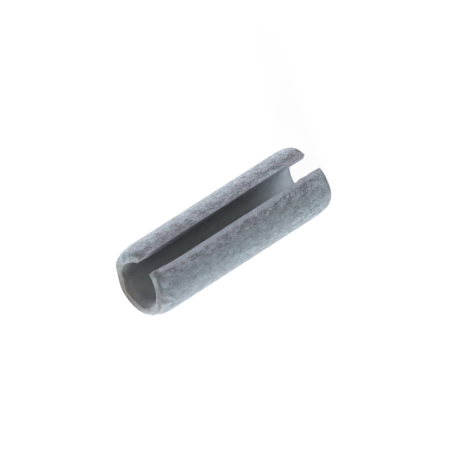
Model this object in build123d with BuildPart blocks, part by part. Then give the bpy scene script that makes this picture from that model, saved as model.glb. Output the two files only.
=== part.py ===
"""Heavy-duty slotted spring pin, 6 x 20, in its free state.

A blank of spring-steel strip is rolled into a tube with one open slot along its
whole length, and both ends are swaged to a blunt, rounded lead-in.
Millimetres.  The pin stands on one end: +Z runs along its axis, the origin is on
the axis at the lower end, and the slot opens towards -Y.
"""
import os
from math import hypot

from build123d import *

# ---- driving dimensions -----------------------------------------------------
pin_length = 20.0
free_diameter = 6.5  # over the strip, before the pin is driven in
strip_thickness = 1.2

lead_in_length = 1.4  # each swaged end, measured along the axis
end_diameter = 5.9  # where the lead-in's taper meets the end face
lead_in_blend_radius = 3.0  # from the straight wall into the taper

slot_width = 1.7  # between the strip's two edges, along the straight part
slot_mouth_width = 1.56  # between the same edges at the swaged ends
slot_blend_radius = 6.0  # from the slot's straight part into its mouths

outer_edge_radius = 0.38  # the strip's long edges, outside
end_corner_radius = 0.35  # the end faces' outer rim and the strip's four corners
inner_edge_radius = 0.1  # the strip's long edges inside and the bore's two mouths

# ---- worked out from them ---------------------------------------------------
outer_radius = free_diameter / 2
bore_radius = outer_radius - strip_thickness
end_radius = end_diameter / 2
mid_wall_radius = (bore_radius + end_radius) / 2
taper_top = pin_length - lead_in_length
half_slot = slot_width / 2
half_mouth = slot_mouth_width / 2
touch = 0.001  # two places closer than this are the same


def from_axis(edge, along=0.5):
    """Distance from the pin's axis to a place part of the way along an edge."""
    place = edge @ along
    return hypot(place.X, place.Y)


def runs_lengthwise(edge):
    return abs(edge.tangent_at(0.5).Z) > 0.5


def lies_on_bore(edge):
    return all(abs(from_axis(edge, along) - bore_radius) < touch for along in (0, 0.5, 1))


with BuildPart() as pin_body:
    # The strip's section with its tapered ends, turned about the axis as a closed tube.
    with BuildSketch(Plane.XZ):
        with BuildLine():
            FilletPolyline(
                (bore_radius, 0),
                (end_radius, 0),
                (outer_radius, lead_in_length),
                (outer_radius, taper_top),
                (end_radius, pin_length),
                (bore_radius, pin_length),
                radius=[0, 0, lead_in_blend_radius, lead_in_blend_radius, 0, 0],
                close=True,
            )
        make_face()
    revolve(axis=Axis.Z)

    # The slot: one gap through the wall, drawn in a little where the ends are swaged.
    with BuildSketch(Plane.XZ):
        with BuildLine():
            FilletPolyline(
                (-half_mouth, 0),
                (half_mouth, 0),
                (half_slot, lead_in_length),
                (half_slot, taper_top),
                (half_mouth, pin_length),
                (-half_mouth, pin_length),
                (-half_slot, taper_top),
                (-half_slot, lead_in_length),
                radius=[0, 0, slot_blend_radius, slot_blend_radius] * 2,
                close=True,
            )
        make_face()
    extrude(amount=free_diameter, mode=Mode.SUBTRACT)

    # The slot's two long outer edges, left full and round by the rolling.
    slot_edges = (
        pin_body.edges()
        .filter_by_position(Axis.Y, -free_diameter, 0)
        .filter_by_position(Axis.X, -half_slot - touch, half_slot + touch)
        .filter_by(runs_lengthwise)
        .filter_by(lambda edge: from_axis(edge) > mid_wall_radius)
    )
    fillet(slot_edges, outer_edge_radius)

    # Both end faces, blunted all round but at the bore: the rim and the strip's corners.
    end_rims = (
        pin_body.faces().filter_by(Axis.Z).edges().filter_by(lambda edge: not lies_on_bore(edge))
    )
    fillet(end_rims, end_corner_radius)

    # The bore's whole border: up one side of the slot, round a mouth and down the other.
    fillet(pin_body.edges().filter_by(lies_on_bore), inner_edge_radius)

os.makedirs("parts", exist_ok=True)
pin_body.part.label = "pin_body"
export_step(pin_body.part, "parts/pin_body.step")
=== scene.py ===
"""Looks of a slotted spring pin: its rolled and swaged form, its worn, mottled zinc skin
with painted light and shade, and the pale table and soft lamps that it stands among.  Metres.
"""
import math

import bmesh
import bpy
import numpy as np
from mathutils import Matrix, Vector, noise


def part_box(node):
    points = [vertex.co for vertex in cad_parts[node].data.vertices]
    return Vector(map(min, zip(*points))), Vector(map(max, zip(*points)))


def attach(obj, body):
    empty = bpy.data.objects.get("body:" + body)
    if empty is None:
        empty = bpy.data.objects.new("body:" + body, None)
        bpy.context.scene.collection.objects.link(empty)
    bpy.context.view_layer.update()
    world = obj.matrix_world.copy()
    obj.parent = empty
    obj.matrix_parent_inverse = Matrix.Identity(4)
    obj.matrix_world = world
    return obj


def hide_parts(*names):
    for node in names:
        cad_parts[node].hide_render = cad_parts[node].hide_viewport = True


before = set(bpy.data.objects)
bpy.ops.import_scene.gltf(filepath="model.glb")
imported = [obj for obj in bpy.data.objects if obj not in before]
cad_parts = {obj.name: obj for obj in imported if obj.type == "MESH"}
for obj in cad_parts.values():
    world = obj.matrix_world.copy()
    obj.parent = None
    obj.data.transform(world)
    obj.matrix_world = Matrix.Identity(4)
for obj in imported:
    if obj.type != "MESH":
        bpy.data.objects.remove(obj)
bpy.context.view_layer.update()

# ---- The pin ---------------------------------------------------------------------
# One blank of spring-steel strip, rolled round until its two long edges face each
# other across a slot.  Both ends are then swaged in to a blunt lead-in, and the pin
# is tumbled, plated with zinc and left dull.
MM = 0.001
pin_low, pin_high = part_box("pin_body")
pin_length = pin_high.z - pin_low.z
outer_radius = pin_high.x
strip_thickness = 1.2 * MM
bore_radius = outer_radius - strip_thickness
slot_width = 1.7 * MM
blank_width = math.tau * (outer_radius - strip_thickness / 2) - slot_width
lead_in = 1.5 * MM
lead_in_bow = 1.9  # how sharply the lead-in curves in as it nears the end face
outer_edge = 0.16 * MM  # rounding of the strip's long edges, on the wall
inner_edge = 0.10 * MM  # and in the bore

# How finely the mesh divides the blank's outline, the ends and the straight wall.
STEPS_ACROSS = 190
STEPS_THROUGH = 6
STEPS_OUTER_EDGE = 5
STEPS_INNER_EDGE = 3
STEPS_RIM = 6
STEPS_LEAD_IN = 24
STEPS_WALL = 165

# Places round the pin are degrees from the middle of its slot.  The rolled blank runs
# from its first long edge round to its last.
FIRST_EDGE, LAST_EDGE = 15, 345

# How each end came out of the swage, as pairs of degrees and millimetres: the rounding of
# the two rims, how far the wall is drawn in and the bore flared, and how far the end face
# is pulled back.  Then the painted shade that darkens its lead-in against the wall, which
# below 0 is painted light.
UPPER_END = {
    "outer_rim": [
        (15, 0.4), (24, 0.36), (36, 0.3), (52, 0.16), (90, 0.2), (180, 0.34), (240, 0.16),
        (262, 0.24), (282, 0.18), (300, 0.1), (325, 0.18), (345, 0.3),
    ],
    "inner_rim": [(15, 0.06), (345, 0.06)],
    "drawn_in": [
        (15, 0.95), (20, 0.75), (27, 0.46), (36, 0.34), (50, 0.3), (160, 0.3), (185, 0.22),
        (210, 0.22), (249, 0.3), (275, 0.46), (290, 0.64), (320, 0.62), (335, 0.48), (345, 0.38),
    ],
    "flared": [
        (15, 0.0), (69, 0.1), (115, 0.1), (135, 0.22), (150, 0.26), (167, 0.12), (182, 0.1),
        (197, 0.2), (210, 0.25), (225, 0.2), (240, 0.13), (262, 0.04), (345, 0.0),
    ],
    "pulled_back": [
        (15, 0.31), (45, 0.08), (95, 0.05), (125, 0.2), (155, 0.06), (175, 0.03), (195, 0.03),
        (222, 0.14), (248, 0.14), (290, 0.02), (345, 0.13),
    ],
    "lead_in_painted_shade": 0.30,
}
LOWER_END = {
    "outer_rim": [
        (15, 0.42), (40, 0.42), (60, 0.36), (180, 0.3), (260, 0.2), (300, 0.16), (345, 0.16),
    ],
    "inner_rim": [(15, 0.09), (345, 0.09)],
    "drawn_in": [(15, 0.48), (40, 0.32), (69, 0.27), (160, 0.28), (249, 0.18), (345, 0.24)],
    "flared": [(15, 0.0), (345, 0.0)],
    "pulled_back": [(15, 0.21), (28, 0.12), (50, 0.02), (290, 0.0), (325, 0.13), (345, 0.2)],
    "lead_in_painted_shade": -0.10,
}
PULL_REACH = 2.0 * MM  # how far down the pin the pulling back is felt
PULL_BOW = 1.5  # and how sharply it grows towards the end face

# How far each edge of the slot lies from its middle at the outer wall, against the height
# above the lower end, and how much farther for each millimetre inwards.
SLOT_RIGHT = [(0, 0.8), (2, 0.82), (13, 0.81), (17, 0.8), (19, 0.74), (20, 0.74)]
LEAN_RIGHT = [(0, 0.15), (17, 0.16), (20, 0.34)]
SLOT_LEFT = [
    (0, 0.78), (2, 0.785), (13, 0.8), (16.5, 0.8), (18.3, 0.775), (19.3, 0.71), (20, 0.62),
]
LEAN_LEFT = [(0, 0.0), (17, 0.0), (20, -0.22)]

# Burrs and nicks in the left edge of the slot, in millimetres: height, length, how far
# it stands in.
NICKS = [
    (3.55, 0.16, 0.05), (3.1, 0.12, -0.05), (2.6, 0.20, 0.05), (1.9, 0.12, -0.04),
    (9.4, 0.20, 0.03),
]
NICK_FADE = 3  # how soon a nick dies out through the strip

# How pale the zinc is round the pin, partly painted light and shade for how the lamps fall
# across it, with a painted highlight along the rounded left edge of the slot, and how
# strongly it is mottled: degrees and share.
WALL_PALENESS_AND_PAINTED_LIGHT = [
    (15, 0.32), (16, 0.44), (22, 0.41), (28, 0.37), (38, 0.6), (50, 0.8), (70, 0.68), (180, 0.55),
    (270, 0.52), (292, 0.62), (305, 0.53), (318, 0.48), (328, 0.36), (334.5, 0.36), (338.5, 0.8),
    (345, 0.85),
]
MOTTLING = [
    (15, 0.6), (22, 1.15), (36, 1.2), (45, 1.6), (56, 1.5), (78, 0.8), (180, 0.7), (280, 0.9),
    (305, 0.75), (318, 0.6), (328, 1.2), (335, 1.2), (339, 0.5), (345, 0.4),
]
# How much stronger the mottling is along the pin: height and share.
MOTTLING_ALONG = [(0, 1.3), (4, 1.3), (7, 1.0), (11, 1.0), (14, 0.88), (20, 0.92)]
# How far the zinc's grey leans from green (0) to purple (1), on the wall and at the upper rim.
CAST = [
    (15, 0.63), (35, 0.63), (55, 0.47), (180, 0.42), (280, 0.26), (315, 0.24), (328, 0.5),
    (345, 0.66),
]
RIM_CAST = [(15, 0.0), (60, 0.05), (120, 0.3), (240, 0.42), (300, 0.3), (325, 0.1), (345, 0.0)]
RIM_REACH = 0.45 * MM  # how far down the wall the rim's own cast runs
# Painted shade darkens the crease that the swage leaves where each rim meets the wall.
CREASE_WIDTH = 0.06 * MM
CREASE_PAINTED_SHADE = 0.2

# Soft marks in the plating, mixed with painted shade over glints and painted highlights
# along the rims and slot edges: degrees, then height, breadth round the pin and length in
# millimetres, then strength.  Dark smudges and painted shade are above 0, and places rubbed
# pale and painted highlights below it.
SMUDGES_AND_PAINTED_LIGHT = [
    # On the upper end.
    (27, 19.86, 0.60, 0.12, 0.50), (31, 19.72, 0.40, 0.18, 0.20), (34, 19.48, 0.35, 0.22, 0.45),
    (27, 19.46, 0.35, 0.22, 0.35), (52, 19.80, 0.50, 0.50, 0.30), (25, 18.97, 0.17, 0.30, 0.12),
    (335, 19.62, 0.24, 0.28, 0.34), (337, 18.90, 0.20, 0.80, 0.30), (294, 19.05, 0.25, 0.30, 0.22),
    (315, 18.69, 0.19, 0.30, 0.16), (315, 19.60, 0.40, 0.30, -0.20), (250, 19.90, 1.40, 0.25, -0.08),
    (270, 19.55, 0.65, 0.50, 0.30), (272, 19.85, 0.70, 0.25, 0.30), (283, 19.50, 0.90, 0.60, 0.10),
    (305, 19.85, 1.60, 0.12, 0.25), (312, 19.70, 1.20, 0.30, 0.18), (291, 19.53, 0.70, 0.25, 0.42),
    (285, 19.15, 0.50, 0.25, 0.18), (292, 19.85, 0.60, 0.12, 0.25), (264, 19.95, 0.60, 0.15, 0.25),
    (258, 19.94, 0.30, 0.08, 0.40), (336, 19.75, 0.35, 0.15, 0.25), (66, 19.91, 0.35, 0.07, 0.90),
    (54, 19.92, 0.45, 0.08, 1.00), (45, 19.90, 0.30, 0.08, 0.40), (54, 19.82, 0.60, 0.12, 0.20),
    (25, 19.92, 0.25, 0.08, 0.50), (341, 19.50, 0.25, 0.25, 0.25), (17, 19.80, 0.30, 0.16, 0.80),
    (331, 19.50, 0.35, 0.40, 0.15), (326, 19.00, 0.45, 0.30, 0.14), (296, 18.95, 0.40, 0.30, 0.15),
    (323, 19.92, 0.45, 0.06, 0.35), (321, 19.75, 0.40, 0.09, -0.42),
    # Along the right edge of the slot.
    (30, 17.58, 0.26, 0.30, 0.14), (25, 17.07, 0.23, 0.40, 0.22), (26, 16.70, 0.35, 0.80, 0.10),
    (30, 15.58, 0.26, 0.35, 0.14), (21, 15.25, 0.16, 0.50, 0.12), (24, 13.90, 0.30, 0.55, 0.20),
    (25, 12.33, 0.23, 0.40, 0.14), (26, 7.72, 0.24, 0.60, 0.22), (28, 6.47, 0.25, 0.50, 0.18),
    (26, 5.42, 0.18, 0.40, 0.18), (22, 3.30, 0.17, 0.25, 0.18), (32, 3.77, 0.16, 0.20, 0.12),
    (15, 3.50, 0.45, 3.00, -0.65), (25, 3.50, 0.30, 2.50, 0.17), (15, 16.80, 0.10, 1.70, 0.12),
    (20, 3.55, 0.22, 0.45, 0.16), (22, 3.15, 0.25, 0.40, 0.22),
    # Along its left edge.
    (335, 18.20, 0.13, 0.30, 0.14), (334, 17.15, 0.15, 0.35, 0.20), (333, 15.00, 0.20, 0.50, 0.18),
    (337, 10.89, 0.17, 0.40, 0.12), (332, 9.77, 0.26, 0.50, 0.18), (332, 6.16, 0.22, 0.50, 0.18),
    (332, 3.25, 0.22, 0.60, 0.14), (327, 1.60, 0.70, 0.80, -0.35), (343, 1.40, 0.25, 1.10, 0.12),
    # Elsewhere on the wall, and on the lower end.
    (320, 1.43, 0.28, 0.30, 0.14), (315, 17.39, 0.24, 0.30, 0.12), (281, 14.77, 0.17, 0.30, 0.16),
    (330, 1.10, 0.60, 0.50, -0.18), (311, 0.65, 1.20, 0.35, -0.32), (36, 0.90, 0.60, 0.50, -0.12),
    (35, 1.20, 0.35, 0.45, -0.16),
]
# Brown stains, with painted shade where the lamps glint, most of them along the upper rim.
STAINS_AND_PAINTED_SHADE = [
    (160, 19.97, 1.20, 0.18, 0.80), (62, 20.00, 0.30, 0.15, 0.25), (21.5, 19.87, 0.30, 0.11, 1.00),
    (17, 19.82, 0.25, 0.14, 0.60), (330, 19.72, 0.70, 0.10, 0.70), (305, 19.85, 0.90, 0.07, 0.50),
    (25, 19.86, 0.50, 0.12, 0.50), (30, 19.80, 0.50, 0.12, 0.40), (345, 19.90, 0.50, 0.16, 1.20),
    (334, 19.78, 0.30, 0.22, 0.60), (336, 19.55, 0.30, 0.25, 0.40), (297, 19.95, 1.10, 0.08, 0.90),
    (284, 19.91, 0.50, 0.06, 0.50), (172, 19.99, 0.80, 0.12, 0.50), (24, 2.20, 0.40, 1.00, 0.40),
    (324, 19.90, 0.25, 0.06, 0.70), (332, 19.50, 0.30, 0.20, 0.35),
]
# The stains' painted shade is weakened in the bore as well.
STAIN_AND_SHADE_FADE = 0.6  # how much weaker the stains are in the bore

# How pale the bore is painted, as painted light and shade: along it, paler towards the lower
# end; how that changes round it; and smudges in it, mixed with painted light and shade.
BORE_PAINTED_LIGHT = [
    (0, 1.0), (0.5, 0.95), (1.6, 0.76), (3.2, 0.64), (5.5, 0.5), (17, 0.48), (18.4, 0.56),
    (19.2, 0.5), (20, 0.3),
]
BORE_PAINTED_LIGHT_ROUND = [(15, -0.26), (105, -0.26), (117, -0.21), (138, 0.03), (160, 0.02), (345, 0.02)]
BORE_SMUDGES_AND_PAINTED_LIGHT = [
    (88, 19.30, 1.20, 1.00, 0.14), (170, 19.05, 2.60, 0.65, 0.24), (180, 17.75, 1.80, 0.75, -0.38),
    (232, 19.87, 1.40, 0.10, 0.75), (165, 19.95, 3.00, 0.15, -0.30), (20, 3.00, 2.00, 3.00, -0.50),
    (18, 19.90, 0.60, 0.15, -0.35), (15, 17.00, 0.50, 1.70, 0.52), (15, 4.20, 0.60, 2.60, -0.60),
    (114, 3.40, 0.80, 0.80, -0.28), (113, 0.40, 0.60, 0.35, -0.35), (138, 19.65, 1.00, 0.45, 0.16),
]
# How far the grey turns warmer: along the bore, as marks, and as marks on the outside alone.
BORE_WARMTH = [(0, 0.0), (1, 0.0), (5.5, 0.3), (20, 0.3)]
WARM_MARKS = [
    (145, 20.00, 3.00, 0.40, 0.62), (155, 19.00, 1.80, 2.00, 0.22), (150, 10.00, 1.60, 8.00, 0.22),
    (265, 19.97, 4.00, 0.35, -0.10), (55, 19.97, 1.20, 0.35, -0.12), (342, 1.80, 0.40, 1.80, 0.12),
]
WARM_EDGES = [(248, 19.98, 1.80, 0.15, 0.45)]
# How much calmer the mottling is in the bore and at the upper rim.
BORE_CALM = 0.7
RIM_CALM = 0.3

# How pale the end faces are, at the outer rim and at the bore, with painted light and shade
# round the pin where the lamps catch the rims: degrees and share.
FACE_PAINTED_LIGHT = [
    (15, 0.25), (25, 0.22), (40, 0.12), (55, 0.2), (70, 0.6), (85, 0.5), (105, 0.32), (125, 0.2),
    (145, 0.02), (185, 0.0), (205, 0.4), (225, 0.75), (240, 0.52), (250, 0.36), (260, 0.18),
    (270, 0.05), (290, 0.05), (305, 0.15), (318, 0.25), (330, 0.22), (338, 0.08), (345, 0.05),
]
FACE_PAINTED_LIGHT_INSIDE = [
    (15, 0.42), (40, 0.38), (58, 0.58), (70, 0.4), (85, 0.2), (105, 0.1), (125, 0.08),
    (150, 0.35), (162, 0.45), (185, 0.22), (200, 0.12), (218, 0.15), (232, 0.24), (248, 0.5),
    (262, 0.44), (285, 0.28), (305, 0.34), (318, 0.38), (330, 0.32), (345, 0.1),
]
FACE_REACH = 0.12 * MM  # how far that paleness runs on over the rims


def eased(table, at):
    """Reads a table of pairs at each value of an array, easing in and out of each pair."""
    places, values = np.array(table).T
    k = np.clip(np.searchsorted(places, at) - 1, 0, len(places) - 2)
    share = np.clip((at - places[k]) / (places[k + 1] - places[k]), 0, 1)
    return values[k] + (values[k + 1] - values[k]) * share ** 2 * (3 - 2 * share)


def blank_side(edge, steps, outside):
    """One face of the flat blank with its two rounded long edges: across, through, and the
    way that each point faces, as four arrays."""
    turn = np.linspace(0, np.pi / 2, steps + 1)
    stretch = (outer_radius if outside else bore_radius) / (outer_radius - strip_thickness / 2)
    reach = edge / stretch
    run = np.linspace(reach, blank_width - reach, STEPS_ACROSS - 2 * steps + 1)[1:-1]
    first = reach * (1 - np.cos(turn))
    across = np.concatenate([first, run, blank_width - first[::-1]])
    depth = edge * (1 - np.sin(turn))
    depth = np.concatenate([depth, np.zeros(len(run)), depth[::-1]])
    sideways = np.concatenate([-np.cos(turn), np.zeros(len(run)), np.cos(turn)[::-1]])
    upright = np.concatenate([np.sin(turn), np.ones(len(run)), np.sin(turn)[::-1]])
    if outside:
        return np.array([across, strip_thickness - depth, sideways, upright])
    return np.array([across, depth, sideways, -upright])


def blank_outline():
    """The flat blank's section as one closed loop of points."""
    top = blank_side(outer_edge, STEPS_OUTER_EDGE, True)
    bottom = blank_side(inner_edge, STEPS_INNER_EDGE, False)
    share = np.linspace(0, 1, STEPS_THROUGH + 1)[1:-1]
    far = top[:, -1:] * (1 - share) + bottom[:, -1:] * share
    near = top[:, :1] * (1 - share) + bottom[:, :1] * share
    return np.concatenate([top, far, bottom[:, ::-1], near[:, ::-1]], axis=1)


# The outline's points, their degrees round the rolled pin, and how far each lies through
# the strip, from the wall (0) to the bore (1).
outline = blank_outline()
outline_count = outline.shape[1]
outline_degrees = FIRST_EDGE + outline[0] / blank_width * (LAST_EDGE - FIRST_EDGE)
inward = np.concatenate([
    np.zeros(STEPS_ACROSS + 1), np.linspace(0, 1, STEPS_THROUGH + 1)[1:-1],
    np.ones(STEPS_ACROSS + 1), np.linspace(1, 0, STEPS_THROUGH + 1)[1:-1],
])


def end_rows(end):
    """Distances from an end face, and how far each row is drawn inside the outline: the rim's
    rounding from the end face out to the wall, then the lead-in."""
    crowding = 1.4  # the lead-in's rows lie closer near the rim
    rim = MM * (eased(end["outer_rim"], outline_degrees) * (1 - inward)
                + eased(end["inner_rim"], outline_degrees) * inward)
    rows = []
    for turn in np.linspace(0, np.pi / 2, STEPS_RIM, endpoint=False):
        rows.append((rim * (1 - math.cos(turn)), rim * (1 - math.sin(turn))))
    for share in np.linspace(0, 1, STEPS_LEAD_IN + 1) ** crowding:
        rows.append((rim + (lead_in - rim) * share, rim * 0))
    return rows


def swaged(from_end):
    """0 along the straight wall, rising in a bow to 1 at the end face."""
    return np.clip(1 - from_end / lead_in, 0, 1) ** lead_in_bow


def marks(table, height):
    """The strength of a table of soft round marks at each point of a row of the outline."""
    total = np.zeros(outline_count)
    for degrees, level, breadth, length, strength in table:
        aside = np.radians(outline_degrees - degrees) * outer_radius / MM / breadth
        along = (height / MM - level) / length
        total += strength * np.exp(-aside ** 2 - along ** 2)
    return total


# What the skin knows at each point of the mesh, in the order that weathered() gives it.
SKIN_VALUES = ("paleness", "mottling", "cast", "bore", "from_end", "stain_and_shade", "warmth")


def weathered(height, upper, end, from_end):
    """How plating, handling and dirt have left a row of the outline, with painted light and shade:
    its SKIN_VALUES.
    """
    rim = eased(end["outer_rim"], outline_degrees) * MM
    on_lead_in = np.clip(from_end / rim, 0, 1) * swaged(from_end)
    crease = np.exp(-((from_end - rim) / CREASE_WIDTH) ** 2)
    # The wall takes painted shade on the lead-in and in the crease, and the smudges' painted light
    # and shade.
    on_wall = (eased(WALL_PALENESS_AND_PAINTED_LIGHT, outline_degrees) - end["lead_in_painted_shade"] * on_lead_in
               - CREASE_PAINTED_SHADE * crease - marks(SMUDGES_AND_PAINTED_LIGHT, height))
    # The bore's paleness is painted light and shade.
    in_bore = (eased(BORE_PAINTED_LIGHT, height / MM) + eased(BORE_PAINTED_LIGHT_ROUND, outline_degrees)
               - marks(BORE_SMUDGES_AND_PAINTED_LIGHT, height))
    paleness = on_wall * (1 - inward) + in_bore * inward
    # The end faces take their painted light and shade.
    on_face = np.clip(1 - from_end / FACE_REACH, 0, 1)
    face = (eased(FACE_PAINTED_LIGHT, outline_degrees) * (1 - inward)
            + eased(FACE_PAINTED_LIGHT_INSIDE, outline_degrees) * inward)
    paleness = paleness * (1 - on_face) + face * on_face
    at_rim = np.clip(1 - from_end / RIM_REACH, 0, 1) * upper
    mottling = eased(MOTTLING, outline_degrees) * eased(MOTTLING_ALONG, height / MM)
    mottling = mottling * (1 - BORE_CALM * inward * (1 - on_face)) * (1 - RIM_CALM * at_rim)
    cast = eased(CAST, outline_degrees) * (1 - at_rim) + eased(RIM_CAST, outline_degrees) * at_rim
    # Stains, with their painted shade.
    stain_and_shade = marks(STAINS_AND_PAINTED_SHADE, height) * (1 - STAIN_AND_SHADE_FADE * inward)
    warmth = (eased(BORE_WARMTH, height / MM) * inward + marks(WARM_MARKS, height)
              + marks(WARM_EDGES, height) * (1 - inward) ** 2)
    return [paleness, mottling, cast, inward, from_end / MM, stain_and_shade, warmth]


def rolled(height, inset):
    """One row of the blank's outline, rolled about Z and swaged: x, y and z of each point,
    followed by its SKIN_VALUES."""
    across = outline[0] - outline[2] * inset
    through = outline[1] - outline[3] * inset
    upper = height > pin_length / 2
    end = UPPER_END if upper[0] else LOWER_END
    from_end = np.where(upper, pin_length - height, height)
    drawn_in = swaged(from_end) * eased(end["drawn_in"], outline_degrees) * MM
    flared = swaged(from_end) * eased(end["flared"], outline_degrees) * MM
    radius = bore_radius + flared + through * (1 - (drawn_in + flared) / strip_thickness)
    deep = outer_radius - radius
    right = eased(SLOT_RIGHT, height / MM) * MM + eased(LEAN_RIGHT, height / MM) * deep
    left = eased(SLOT_LEFT, height / MM) * MM + eased(LEAN_LEFT, height / MM) * deep
    for level, length, depth in NICKS:
        fading = (1 - inward) ** NICK_FADE
        left = left - depth * MM * fading * np.exp(-((height / MM - level) / length) ** 2)
    first, last = np.arcsin(right / radius), math.tau - np.arcsin(left / radius)
    turn = first + across / blank_width * (last - first)
    pull = eased(end["pulled_back"], outline_degrees) * MM
    pull = pull * np.clip(1 - from_end / PULL_REACH, 0, 1) ** PULL_BOW
    place = [radius * np.sin(turn), -radius * np.cos(turn),
             pin_low.z + height + np.where(upper, -pull, pull)]
    return np.stack(place + weathered(height, upper, end, from_end), axis=-1)


def end_face(points, base):
    """Closes an end: a grid of faces from the outer rim to the bore's, added to points."""
    def on_loop(j, i):
        """The point of the outline that the grid's border shares."""
        if j == STEPS_ACROSS:
            return base + STEPS_ACROSS + i
        if j == 0:
            return base + (outline_count - i) % outline_count
        return base + (j if i == 0 else 2 * STEPS_ACROSS + STEPS_THROUGH - j)

    grid = {}
    for j in range(STEPS_ACROSS + 1):
        for i in range(STEPS_THROUGH + 1):
            if j in (0, STEPS_ACROSS) or i in (0, STEPS_THROUGH):
                grid[j, i] = on_loop(j, i)
            else:
                share = i / STEPS_THROUGH
                grid[j, i] = len(points)
                points.append(points[on_loop(j, 0)] * (1 - share)
                              + points[on_loop(j, STEPS_THROUGH)] * share)
    return [
        (grid[j, i], grid[j + 1, i], grid[j + 1, i + 1], grid[j, i + 1])
        for j in range(STEPS_ACROSS) for i in range(STEPS_THROUGH)
    ]


def roll_pin(name):
    """The whole pin as one closed mesh: a row of the outline at each height, joined to the
    next, and a face on each end."""
    wall = np.linspace(lead_in, pin_length - lead_in, STEPS_WALL + 1)
    flat = np.zeros(outline_count)
    rows = end_rows(LOWER_END) + [(flat + height, flat) for height in wall[1:-1]]
    rows += [(pin_length - height, inset) for height, inset in reversed(end_rows(UPPER_END))]
    points = [point for height, inset in rows for point in rolled(height, inset)]
    faces = []
    for row in range(len(rows) - 1):
        here, above = row * outline_count, (row + 1) * outline_count
        for k in range(outline_count):
            n = (k + 1) % outline_count
            faces.append((here + k, here + n, above + n, above + k))
    for base in (0, (len(rows) - 1) * outline_count):
        faces += end_face(points, base)
    points = np.array(points)
    mesh = bpy.data.meshes.new(name)
    mesh.from_pydata(points[:, :3].tolist(), [], faces)
    mesh.update()
    for column, label in enumerate(SKIN_VALUES, start=3):
        layer = mesh.attributes.new(label, "FLOAT", "POINT")
        layer.data.foreach_set("value", points[:, column])
    shell = bmesh.new()
    shell.from_mesh(mesh)
    bmesh.ops.recalc_face_normals(shell, faces=shell.faces)
    shell.to_mesh(mesh)
    shell.free()
    mesh.shade_smooth()
    piece = bpy.data.objects.new(name, mesh)
    bpy.context.scene.collection.objects.link(piece)
    return piece


# The unevenness that etching and plating leave: the depth of the swells in millimetres, how
# many there are to a millimetre, and where each pattern starts.
SWELLS = [(0.010, 0.9, (0, 0, 0)), (0.006, 2.6, (7, 3, 1))]
SWELL_LEVEL = 0.004  # how deep the surface is sunk where the swells are level


def roughen(piece):
    """Sinks the swells into the surface, so that nothing stands proud of it."""
    mesh = piece.data
    facing = np.array([vertex.normal[:] for vertex in mesh.vertices])
    places = np.array([vertex.co[:] for vertex in mesh.vertices])
    relief = np.array([
        sum(depth * noise.noise(Vector(place) / MM * pitch + Vector(start))
            for depth, pitch, start in SWELLS)
        for place in places
    ]) * MM
    places -= facing * np.maximum(relief + SWELL_LEVEL * MM, 0)[:, None]
    places[:, 2] = np.clip(places[:, 2], pin_low.z, pin_high.z)
    mesh.vertices.foreach_set("co", places.ravel())
    mesh.update()


pin = roll_pin("slotted_spring_pin")
roughen(pin)
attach(pin, "root")
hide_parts("pin_body")

PALE_ZINC = (0.540, 0.624, 0.706, 1)
DARK_ZINC = (0.139, 0.155, 0.179, 1)
# The brown of the stains, also used for painted shade.
BROWN_STAIN_AND_SHADE = (0.080, 0.073, 0.066, 1)
# Tints that multiply the zinc's grey.
PURPLE_CAST = (1.075, 0.945, 1.015, 1)
GREEN_CAST = (0.950, 1.035, 1.000, 1)
WARM_CAST = (1.200, 1.000, 0.800, 1)

# How strongly the blotches and the fine grain tell in the mottling, the value that they
# are counted from, and how the blotches are drawn out along the pin.
BLOTCH_STRENGTH, FINE_STRENGTH, MOTTLING_MIDDLE = 2.7, 1.9, 2.3
BLOTCH_STRETCH = (1.15, 1.15, 0.62)
PALENESS_SCALE = 0.8  # from the tables' shares to the mix of dark and pale zinc
# How far the tint wanders either way between green and purple, and from what value.
CAST_SWING, TINTS_MIDDLE = 1.6, 0.5
# Stains and their painted shade come up within the blotches.
STAIN_AND_SHADE_HOLDS = (0.38, 0.58)  # the blotches between which a stain comes up to its strength
BORE_MOUTH = (1.0, 5.5)  # millimetres up the bore, from its bright mouth to the matt depth
WALL_METALLIC, MOUTH_METALLIC = 0.4, 0.8
# The wall's roughness follows the fine grain from one range into the other.  The bore is
# rougher in its depth, and an end face is rougher as far as so many millimetres from it.
FINE_RANGE, WALL_ROUGHNESS = (0.3, 0.7), (0.41, 0.49)
BORE_ROUGHER = 0.22
END_ROUGHER, END_ROUGH_REACH = 0.2, 0.6
BUMP_STRENGTH, BUMP_HEIGHT = 0.5, 0.008 * MM

zinc = bpy.data.materials.new("dull_zinc")
zinc.use_nodes = True
nodes, links = zinc.node_tree.nodes, zinc.node_tree.links
skin = nodes["Principled BSDF"]
skin.inputs["Specular IOR Level"].default_value = 1.0


def node(kind, inputs=(), **settings):
    """Adds a node to the material in hand and joins or sets its inputs."""
    made = nodes.new("ShaderNode" + kind)
    for key, value in settings.items():
        setattr(made, key, value)
    for key, value in dict(inputs).items():
        if isinstance(value, bpy.types.NodeSocket):
            links.new(value, made.inputs[key])
        else:
            made.inputs[key].default_value = value
    return made


def math_node(operation, a, b=0.0, clamp=False):
    """A step of arithmetic on values that change over the surface."""
    return node("Math", {0: a, 1: b}, operation=operation, use_clamp=clamp).outputs[0]


def ramped(value, low, high, to_low=0.0, to_high=1.0):
    """Eases a value from one range into another and holds it at both ends."""
    return node("MapRange", {
        "Value": value, "From Min": low, "From Max": high, "To Min": to_low, "To Max": to_high,
    }, interpolation_type="SMOOTHSTEP").outputs[0]


def mixed(share, a, b, blend="MIX"):
    """Blends two colours.  A share below 0 leans away from the second."""
    return node("Mix", {0: share, 6: a, 7: b}, data_type="RGBA", blend_type=blend,
                clamp_factor=False).outputs[2]


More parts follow.
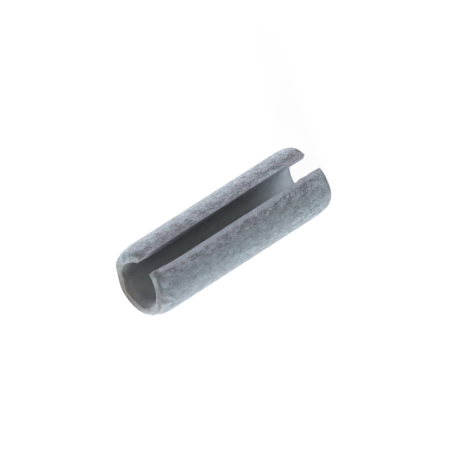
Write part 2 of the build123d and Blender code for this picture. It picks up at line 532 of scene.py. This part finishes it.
def grain(place, scale, detail, roughness, distortion=0.0):
    """Noise that runs through the metal.  Its scale is in grains to a millimetre."""
    return node("TexNoise", {
        "Vector": place, "Scale": scale, "Detail": detail, "Roughness": roughness,
        "Distortion": distortion,
    }).outputs[0]


millimetres = node("VectorMath", {
    0: node("TexCoord").outputs["Object"], "Scale": 1 / MM,
}, operation="SCALE").outputs[0]
drawn_out = node("VectorMath", {
    0: millimetres, 1: BLOTCH_STRETCH,
}, operation="MULTIPLY").outputs[0]
blotches = grain(drawn_out, scale=1.9, detail=4.0, roughness=0.85, distortion=0.2)
tints = grain(millimetres, scale=2.2, detail=1.0, roughness=0.5)
fine = grain(millimetres, scale=9.0, detail=2.0, roughness=0.6)
paleness, mottling, cast, bore, from_end, stain_and_shade, warmth = (
    node("Attribute", attribute_name=label).outputs["Fac"] for label in SKIN_VALUES)

# Colour: dark and pale zinc, mottled by the blotches and the fine grain, under the tints
# and the stains.  The paleness and the stains carry painted light and shade as well.
spread = math_node("ADD", math_node("MULTIPLY", blotches, BLOTCH_STRENGTH),
                   math_node("MULTIPLY", fine, FINE_STRENGTH))
uneven = math_node("MULTIPLY", math_node("SUBTRACT", spread, MOTTLING_MIDDLE), mottling)
shade = math_node("MULTIPLY", math_node("ADD", paleness, uneven), PALENESS_SCALE, clamp=True)
zinc_grey = mixed(shade, DARK_ZINC, PALE_ZINC)
swing = math_node("MULTIPLY", math_node("SUBTRACT", tints, TINTS_MIDDLE), CAST_SWING)
purple = math_node("ADD", math_node("MULTIPLY", swing, mottling), cast, clamp=True)
glaze = mixed(warmth, mixed(purple, GREEN_CAST, PURPLE_CAST), WARM_CAST)
tinted = mixed(1.0, zinc_grey, glaze, blend="MULTIPLY")
# Stains and painted shade turn the colour towards brown.
stained_and_shaded = math_node("MULTIPLY", stain_and_shade, ramped(blotches, *STAIN_AND_SHADE_HOLDS), clamp=True)
links.new(mixed(stained_and_shaded, tinted, BROWN_STAIN_AND_SHADE), skin.inputs["Base Color"])

# Gloss: finely uneven, rougher on the end faces, and matt deep in the bore.
up_the_pin = node("SeparateXYZ", {0: millimetres}).outputs[2]
rough = math_node("ADD", ramped(fine, *FINE_RANGE, *WALL_ROUGHNESS),
                  ramped(from_end, 0.0, END_ROUGH_REACH, END_ROUGHER, 0.0))
matt = math_node("MULTIPLY", bore, ramped(up_the_pin, *BORE_MOUTH, 0.0, BORE_ROUGHER))
links.new(math_node("ADD", rough, matt), skin.inputs["Roughness"])
at_mouth = math_node("MULTIPLY", bore, ramped(up_the_pin, *BORE_MOUTH, 1.0, 0.0))
metal = node("Mix", {0: at_mouth, 2: WALL_METALLIC, 3: MOUTH_METALLIC})
links.new(metal.outputs[0], skin.inputs["Metallic"])

bump = node("Bump", {
    "Height": math_node("ADD", fine, blotches), "Strength": BUMP_STRENGTH,
    "Distance": BUMP_HEIGHT,
})
links.new(bump.outputs[0], skin.inputs["Normal"])
pin.data.materials.append(zinc)

# ---- The table ---------------------------------------------------------------------
# A plain white sheet of paper, wide enough to fill the view from any side.  It keeps
# only a faint shadow of the pin.
TABLE_HALF_WIDTH = 2.0
PAPER_GLOW = 0.955
PAPER_GREY = (0.06, 0.06, 0.06, 1)
sheet = bpy.data.meshes.new("white_sheet")
corners = [
    (x * TABLE_HALF_WIDTH, y * TABLE_HALF_WIDTH, pin_low.z)
    for x, y in ((-1, -1), (1, -1), (1, 1), (-1, 1))
]
sheet.from_pydata(corners, [], [(0, 1, 2, 3)])
table_top = bpy.data.objects.new("white_sheet", sheet)
bpy.context.scene.collection.objects.link(table_top)


def in_view():
    """1 where the camera looks, straight or by way of gloss or glass, and 0 for other light."""
    ray = node("LightPath").outputs
    looked_at = math_node("MAXIMUM", ray["Is Camera Ray"], ray["Is Glossy Ray"])
    return math_node("MAXIMUM", looked_at, ray["Is Transmission Ray"])


paper = bpy.data.materials.new("white_paper")
paper.use_nodes = True
nodes, links = paper.node_tree.nodes, paper.node_tree.links
nodes.clear()
glow = node("Emission", {"Strength": math_node("MULTIPLY", in_view(), PAPER_GLOW)})
shaded = node("BsdfDiffuse", {"Color": PAPER_GREY})
both = node("AddShader", {0: shaded.outputs[0], 1: glow.outputs[0]})
node("OutputMaterial", {"Surface": both.outputs[0]})
sheet.materials.append(paper)

# ---- The lamps ---------------------------------------------------------------------
# Soft lamps stand round the table: two beside and a little behind the pin, one high
# behind it, and two weak ones in front, in a dim room.
LAMPS = {  # degrees round from -Y, degrees up, watts
    "right_lamp": (-138, 12, 11.4),
    "left_lamp": (108, 12, 11.0),
    "high_lamp": (-138, 50, 6.6),
    "front_lamp": (-26, 12, 1.7),
    "front_left_lamp": (42, 25, 2.0),
}
LAMP_DISTANCE = 1.0
LAMP_WIDTH = 0.5
ROOM_LIGHT, BACKDROP = 0.08, 1.0  # the room's strength as light and as what is looked at


def direction(round_degrees, up_degrees):
    """The way out from the pin towards a lamp or the camera."""
    a, e = math.radians(round_degrees), math.radians(up_degrees)
    return Vector((math.sin(a) * math.cos(e), -math.cos(a) * math.cos(e), math.sin(e)))


for name, (round_degrees, up_degrees, watts) in LAMPS.items():
    light = bpy.data.lights.new(name, "AREA")
    light.energy = watts
    light.size = LAMP_WIDTH
    lamp = bpy.data.objects.new(name, light)
    lamp.location = direction(round_degrees, up_degrees) * LAMP_DISTANCE
    lamp.rotation_euler = lamp.location.to_track_quat("Z", "Y").to_euler()
    lamp.visible_camera = False
    bpy.context.scene.collection.objects.link(lamp)

room = bpy.data.worlds.new("dim_room")
room.use_nodes = True
nodes, links = room.node_tree.nodes, room.node_tree.links
walls = nodes["Background"]
walls.inputs["Color"].default_value = (1, 1, 1, 1)
links.new(ramped(in_view(), 0.0, 1.0, ROOM_LIGHT, BACKDROP), walls.inputs["Strength"])
bpy.context.scene.world = room

# ---- The camera --------------------------------------------------------------------
# A long lens, looking down at the upper end and into the slot, and turned on its side
# so that the pin lies across the frame.
FRAME_PIXELS = 450
PIXEL_SPAN = 0.08497  # millimetres at the pin
LENS, SENSOR = 900.0, 36.0
VIEW_ROUND, VIEW_UP, VIEW_ROLL = -18.0, 32.0, -122.64
AIM_ACROSS, AIM_UP = 1.9, 6.1  # pixels from the pin's middle
frame_width = FRAME_PIXELS * PIXEL_SPAN * MM
back = direction(VIEW_ROUND, VIEW_UP)
level = Vector((0, 0, 1)).cross(back).normalized()
roll = math.radians(VIEW_ROLL)
across = level * math.cos(roll) + back.cross(level) * math.sin(roll)
up = back.cross(across)
middle = Vector((0, 0, pin_low.z + pin_length / 2))
aim = middle + (across * AIM_ACROSS + up * AIM_UP) * frame_width / FRAME_PIXELS

camera_data = bpy.data.cameras.new("camera")
camera_data.lens = LENS
camera_data.sensor_width = SENSOR
camera_data.clip_start = 0.05
camera_data.clip_end = 20
camera = bpy.data.objects.new("camera", camera_data)
stand_back = frame_width * LENS / SENSOR
turned = Matrix((across, up, back)).transposed().to_4x4()
camera.matrix_world = Matrix.Translation(aim + back * stand_back) @ turned
bpy.context.scene.collection.objects.link(camera)
bpy.context.scene.camera = camera
bpy.context.scene.view_settings.view_transform = "Standard"
